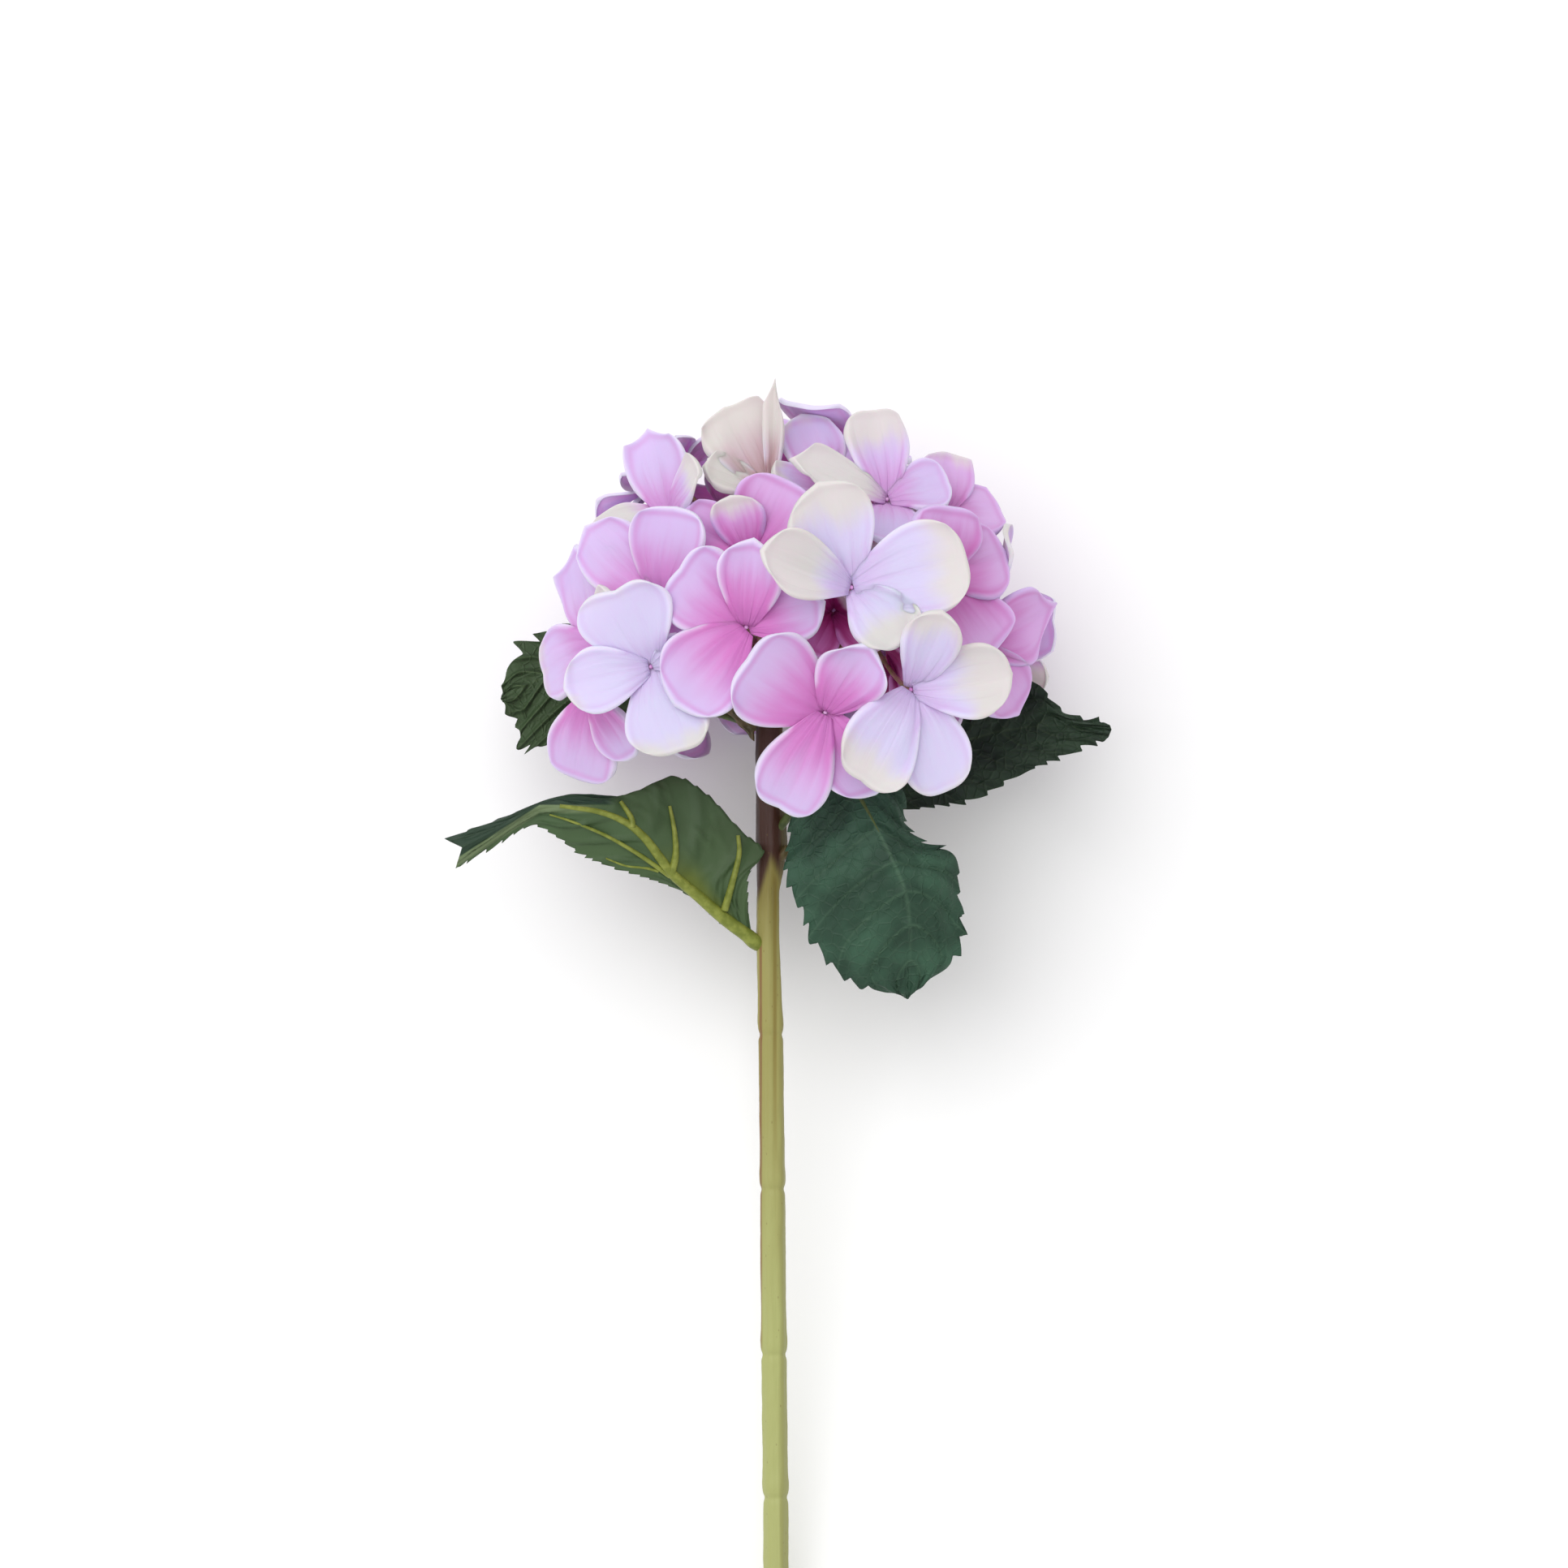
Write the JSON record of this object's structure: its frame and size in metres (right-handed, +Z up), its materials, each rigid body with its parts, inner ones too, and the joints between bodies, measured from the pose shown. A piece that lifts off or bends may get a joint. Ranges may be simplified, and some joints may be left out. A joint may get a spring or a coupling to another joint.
{
  "type": "cut hydrangea",
  "caption": "Cut mophead hydrangea lying on its back: a domed head of four-petalled pink, lilac and cream florets on a green stem with broad serrated leaves.",
  "frame": {"origin": "on the table, under the middle of the lying flower's bounding box", "axes": "+Y from the cut end of the stem towards the flower head, +Z up from the table, +X to the right of someone who looks down with the head furthest from them"},
  "size_m": [0.2036, 0.4402, 0.1401],
  "materials": {
    "stem": "green, slightly waxy stem, purple-brown under the head, with paler joints and small specks",
    "leaf": "dark green, softly glossy, with sunken veins above and raised yellow-green veins beneath",
    "scale": "dark olive-brown, matt",
    "petal_pale": "white-lilac with cream tips and pale rims, soft matt sheen",
    "petal_pink": "pink at the throat with darker veins, lilac towards a nearly white rim",
    "petal_rose": "lilac-pink, some petals cream towards the tip",
    "petal_lilac": "lilac to rose, matt",
    "petal_deep": "deep pink, matt"
  },
  "bodies": {
    "root": {"crown_scale": "scale", "floret_cream_right": "petal_rose", "floret_crest_cream": "petal_rose", "floret_crest_left": "petal_rose", "floret_crest_middle": "petal_rose", "floret_crest_right": "petal_rose", "floret_drop_left": "petal_rose", "floret_edge_left": "petal_rose", "floret_edge_right": "petal_rose", "floret_inner_0": "petal_deep", "floret_inner_11": "petal_deep", "floret_inner_15": "petal_deep", "floret_inner_16": "petal_deep", "floret_inner_17": "petal_deep", "floret_inner_18": "petal_deep", "floret_inner_2": "petal_deep", "floret_inner_3": "petal_deep", "floret_inner_4": "petal_deep", "floret_inner_5": "petal_deep", "floret_inner_6": "petal_deep", "floret_inner_8": "petal_deep", "floret_inner_9": "petal_deep", "floret_pale_left": "petal_pale", "floret_pale_low": "petal_pale", "floret_pale_right": "petal_pale", "floret_pink_low": "petal_pink", "floret_pink_middle": "petal_pink", "floret_rose_high": "petal_rose", "floret_rose_left": "petal_rose", "floret_rose_right": "petal_rose", "floret_side_0": "petal_lilac", "floret_side_10": "petal_lilac", "floret_side_12": "petal_lilac", "floret_side_15": "petal_lilac", "floret_side_17": "petal_lilac", "floret_side_18": "petal_lilac", "floret_side_2": "petal_lilac", "floret_side_20": "petal_lilac", "floret_side_21": "petal_lilac", "floret_side_23": "petal_lilac", "floret_side_26": "petal_lilac", "floret_side_28": "petal_lilac", "floret_side_31": "petal_lilac", "floret_side_33": "petal_lilac", "floret_side_34": "petal_lilac", "floret_side_4": "petal_lilac", "floret_side_5": "petal_lilac", "floret_side_7": "petal_lilac", "left_back_leaf": "leaf", "left_leaf": "leaf", "right_back_leaf": "leaf", "right_leaf": "leaf", "stem": "stem"}
  },
  "joints": []
}
